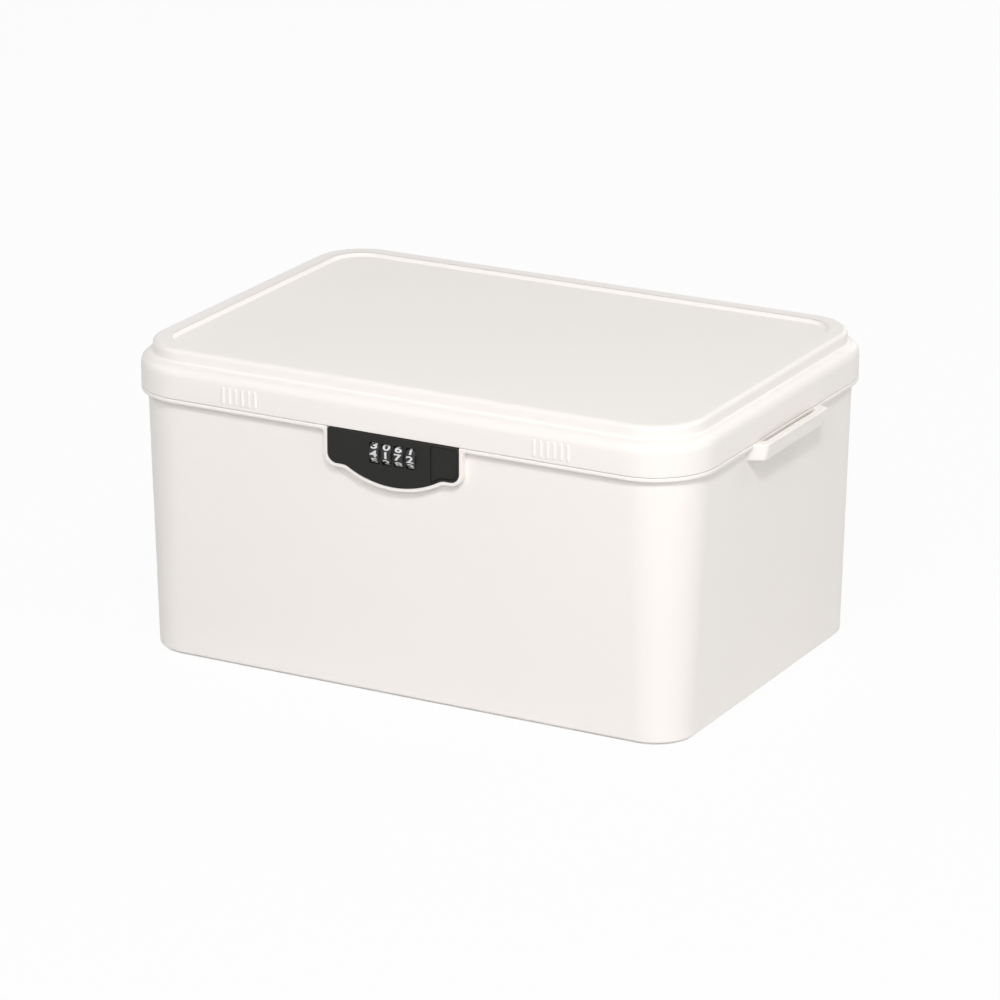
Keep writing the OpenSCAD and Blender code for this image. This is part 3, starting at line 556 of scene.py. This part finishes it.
# %% Foot and handles of the tub
# All in mm. A ring of the CAD tub's foot: its height, its new height, how far it goes inwards
FOOT_RINGS = ((0, 0, -0.7), (0.23, 1.1, 0.35), (0.88, 1.3, 0.62))
FOOT_MISS = 0.05                    # how far a point may lie from its ring's height
SLOT_SIDE = (193.5, 195.2)          # the slot's outer side lies between these, from the middle
HANDLE_FRONT = 195.7                # the handle's outer points lie beyond this
SLOT_NARROWER = 1.3
HANDLE_TOP = 165.2
HANDLE_HEIGHT = 10.2
HANDLE_LEAN = 1.8                   # how far the handle's lower edge goes in

shaped = 0
for v in form.verts:
    inset, way = inward(v.co)
    out, height = abs(v.co.x) / MM, v.co.z / MM
    for before, after, move in FOOT_RINGS:
        if abs(height - before) < FOOT_MISS:
            v.co = Vector((v.co.x, v.co.y, after * MM)) + way * move * MM
            shaped += 1
    push = 0
    if SLOT_SIDE[0] < out < SLOT_SIDE[1]:
        push = SLOT_NARROWER
    elif out > HANDLE_FRONT:
        push = HANDLE_LEAN * (HANDLE_TOP - height) / HANDLE_HEIGHT
    v.co.x -= math.copysign(push * MM, v.co.x)
    shaped += push > 0
stand_in(form, "tub_shell", "tub", "box")
print("tub_shell: shaped", shaped, "points of foot and handles")

# %% [markdown]
# Each wheel carries the numbers 0 to 9. On real wheels they are printed or filled with paint
# a few hundredths of a millimetre thick. A picture mapped round the wheel would do, but then
# the numbers wouldn't exist as shapes. So each number is outlined with Blender's own font,
# cut into thin strips so that it can bend. The next cell then wraps it round the wheel's rim.

# %% One flat number
DIGITS = 10
DIGIT_STEP = 2 * math.pi / DIGITS
DIGIT_W = 5.1                   # mm, width of the widest number
DIGIT_H = 4.2                   # mm
GLYPH_W = 0.516                 # width of the font's widest number, in its own units
GLYPH_FATTER = 0.028            # the strokes grow by this to each side
GLYPH_HALF_DEPTH = 0.5          # any depth will do, because the wrapping sets its own
GLYPH_CURVE_STEPS = 6           # straight pieces for each curved one of the outline
GLYPH_JOIN = 1e-5               # points closer than this are one point
DIGIT_RELIEF = (-0.06, 0.035)   # below and above the wheel's rim, mm
STRIP = 0.35                    # mm, height of the strips that a number is cut into
FRONT_DIGITS = (4, 1, 7, 2)     # the numbers that face forward on the four wheels


def flat_digit(number):
    """Points in mm (x, y, layer) and faces of one number, cut into level strips."""
    curve = bpy.data.curves.new("digit", "FONT")
    curve.body = str(number)
    curve.offset = GLYPH_FATTER
    curve.extrude = GLYPH_HALF_DEPTH
    curve.resolution_u = GLYPH_CURVE_STEPS
    shape = add_object("digit", curve)
    mesh = bpy.data.meshes.new_from_object(
        shape.evaluated_get(bpy.context.evaluated_depsgraph_get()))
    bpy.data.objects.remove(shape)
    form = bmesh.new()
    form.from_mesh(mesh)
    bpy.data.meshes.remove(mesh)
    bmesh.ops.remove_doubles(form, verts=form.verts, dist=GLYPH_JOIN)
    low = [min(v.co[i] for v in form.verts) for i in (0, 1)]
    high = [max(v.co[i] for v in form.verts) for i in (0, 1)]
    width = DIGIT_W * (high[0] - low[0]) / GLYPH_W
    for v in form.verts:
        v.co.x = ((v.co.x - low[0]) / (high[0] - low[0]) - 0.5) * width
        v.co.y = ((v.co.y - low[1]) / (high[1] - low[1]) - 0.5) * DIGIT_H
    cuts = int(DIGIT_H / STRIP)
    for i in range(1, cuts):
        bmesh.ops.bisect_plane(form, geom=form.verts[:] + form.edges[:] + form.faces[:],
                               plane_co=(0, (i / cuts - 0.5) * DIGIT_H, 0), plane_no=(0, 1, 0))
    return form


print(DIGITS, "numbers,", round(math.degrees(DIGIT_STEP)), "degrees apart")

# %% [markdown]
# The ten numbers of a wheel never move against each other, so they are one piece, which rides
# with the wheel. Its lower layer is sunk into the wheel, so no gap shows at the edges of a
# number. Ten single pieces would turn the same way, but they would be more to keep in order.


# %% Numbers round the wheels
def wheel_digits(wheel, front):
    """All ten numbers of one wheel as one piece, wrapped round its rim."""
    low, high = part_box(f"dial_wheel_{wheel}")
    middle = (low + high) / 2
    rim = (high.z - low.z) / 2 / MM
    made = bmesh.new()
    for number in range(DIGITS):
        form = flat_digit(number)
        turn = -(number - front) * DIGIT_STEP
        for v in form.verts:
            x, y, layer = v.co
            r = rim + DIGIT_RELIEF[1 if layer > 0 else 0]
            a = y / rim + turn
            v.co = Vector((x, -r * math.cos(a), r * math.sin(a))) * MM + middle
        mesh = bpy.data.meshes.new("digit")
        form.to_mesh(mesh)
        made.from_mesh(mesh)
        bpy.data.meshes.remove(mesh)
    bmesh.ops.recalc_face_normals(made, faces=made.faces)
    mesh = bpy.data.meshes.new(f"numbers_{wheel}")
    made.to_mesh(mesh)
    mesh.materials.append(digit_white)
    piece = add_object(f"numbers_{wheel}", mesh)
    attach(piece, f"dial_{wheel}")
    return piece


for wheel, front in zip(WHEELS, FRONT_DIGITS):
    print("wheel", wheel, "shows", front, "faces:", len(wheel_digits(wheel, front).data.polygons))
